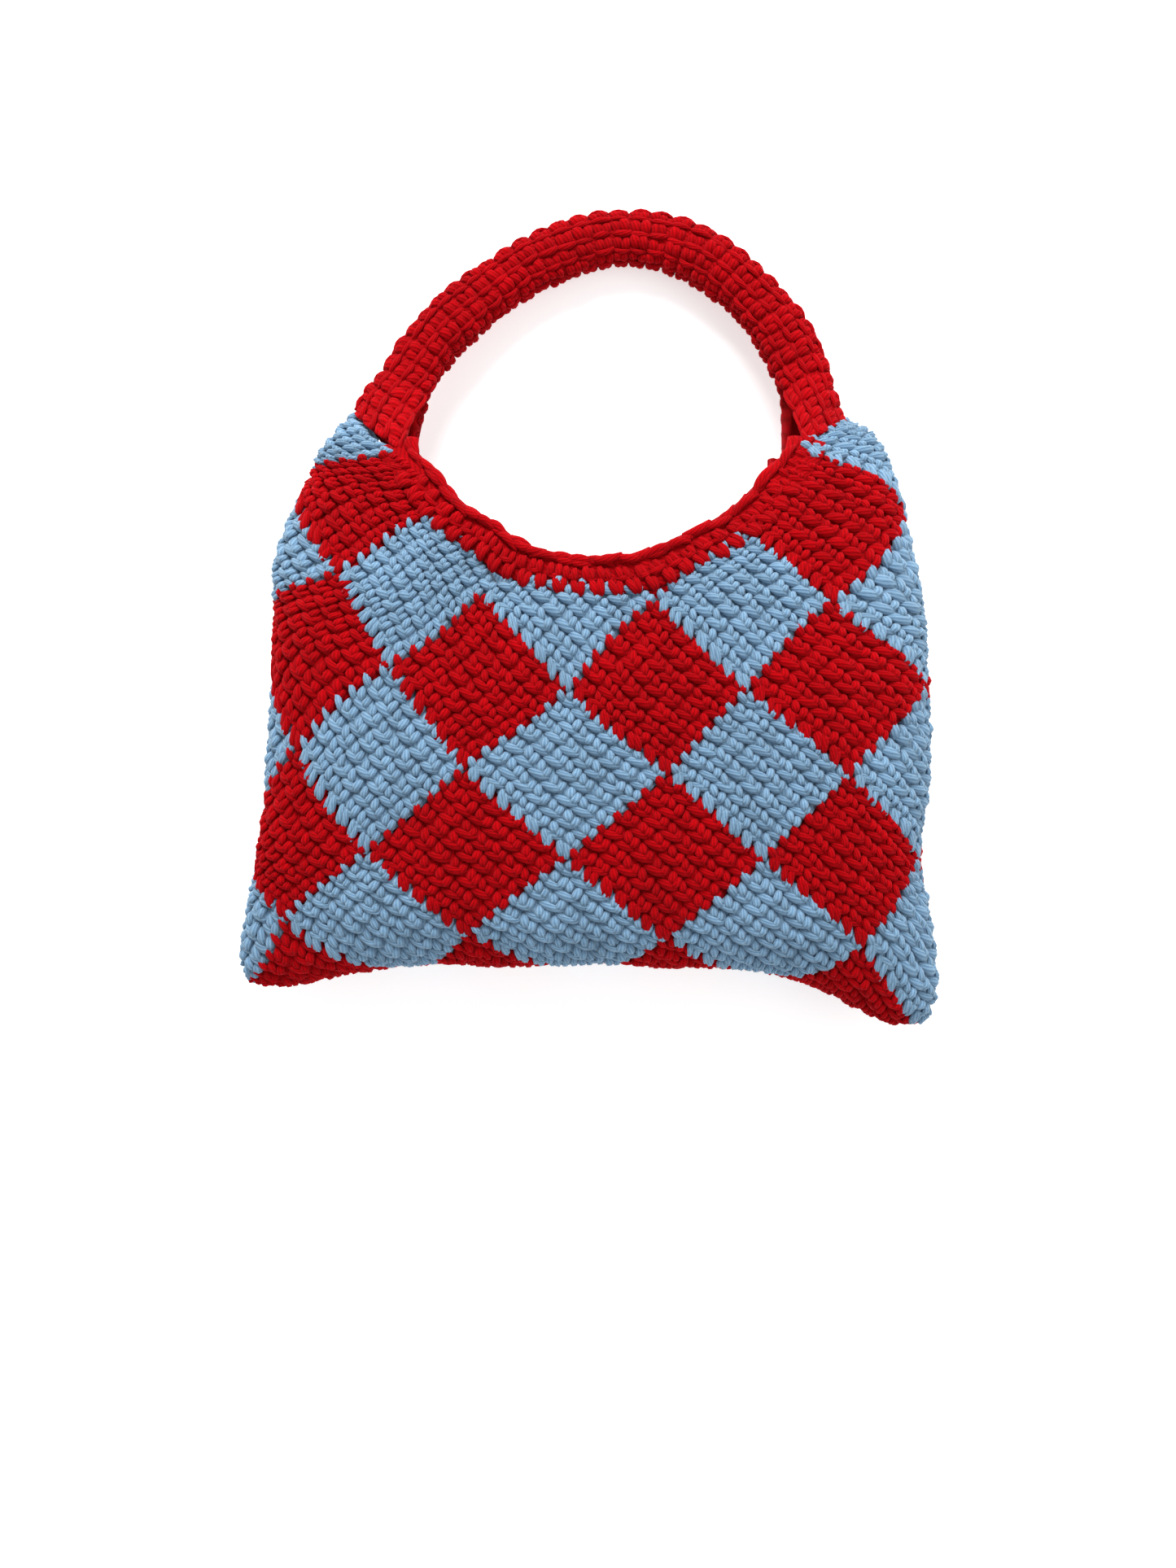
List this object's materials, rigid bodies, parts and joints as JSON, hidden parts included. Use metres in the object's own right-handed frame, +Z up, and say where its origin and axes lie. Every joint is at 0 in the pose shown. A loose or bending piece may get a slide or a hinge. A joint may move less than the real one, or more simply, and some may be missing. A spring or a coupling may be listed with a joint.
{
  "type": "crochet hand bag",
  "caption": "Small crochet hand bag lying on its back: a pillow-like tube of joined diamond squares with a scooped open mouth, two rim bands and one looped handle.",
  "frame": {"origin": "centre of the bag's box on the surface it lies on", "axes": "+Y from the bottom fold towards the handle, +X to the right as seen from above, +Z up from the surface the back panel lies on"},
  "size_m": [0.2524, 0.3046, 0.0661],
  "materials": {
    "yarn_red": "matte",
    "yarn_blue": "matte"
  },
  "bodies": {
    "root": {"blue_square_1_0": "yarn_blue", "blue_square_1_1": "yarn_blue", "blue_square_1_2": "yarn_blue", "blue_square_1_3": "yarn_blue", "blue_square_1_4": "yarn_blue", "blue_square_1_5": "yarn_blue", "blue_square_1_6": "yarn_blue", "blue_square_1_7": "yarn_blue", "blue_square_3_0": "yarn_blue", "blue_square_3_1": "yarn_blue", "blue_square_3_2": "yarn_blue", "blue_square_3_3": "yarn_blue", "blue_square_3_4": "yarn_blue", "blue_square_3_5": "yarn_blue", "blue_square_3_6": "yarn_blue", "blue_square_3_7": "yarn_blue", "blue_square_5_0": "yarn_blue", "blue_square_5_1": "yarn_blue", "blue_square_5_2": "yarn_blue", "blue_square_5_3": "yarn_blue", "blue_square_5_4": "yarn_blue", "blue_square_5_5": "yarn_blue", "blue_square_5_6": "yarn_blue", "blue_square_5_7": "yarn_blue", "blue_square_7_0": "yarn_blue", "blue_square_7_4": "yarn_blue", "handle": "yarn_red", "red_square_0_0": "yarn_red", "red_square_0_1": "yarn_red", "red_square_0_2": "yarn_red", "red_square_0_3": "yarn_red", "red_square_2_0": "yarn_red", "red_square_2_1": "yarn_red", "red_square_2_2": "yarn_red", "red_square_2_3": "yarn_red", "red_square_2_4": "yarn_red", "red_square_2_5": "yarn_red", "red_square_2_6": "yarn_red", "red_square_2_7": "yarn_red", "red_square_4_0": "yarn_red", "red_square_4_1": "yarn_red", "red_square_4_2": "yarn_red", "red_square_4_3": "yarn_red", "red_square_4_4": "yarn_red", "red_square_4_5": "yarn_red", "red_square_4_6": "yarn_red", "red_square_4_7": "yarn_red", "red_square_6_0": "yarn_red", "red_square_6_3": "yarn_red", "red_square_6_4": "yarn_red", "red_square_6_7": "yarn_red", "rim_back": "yarn_red", "rim_front": "yarn_red"}
  },
  "joints": []
}
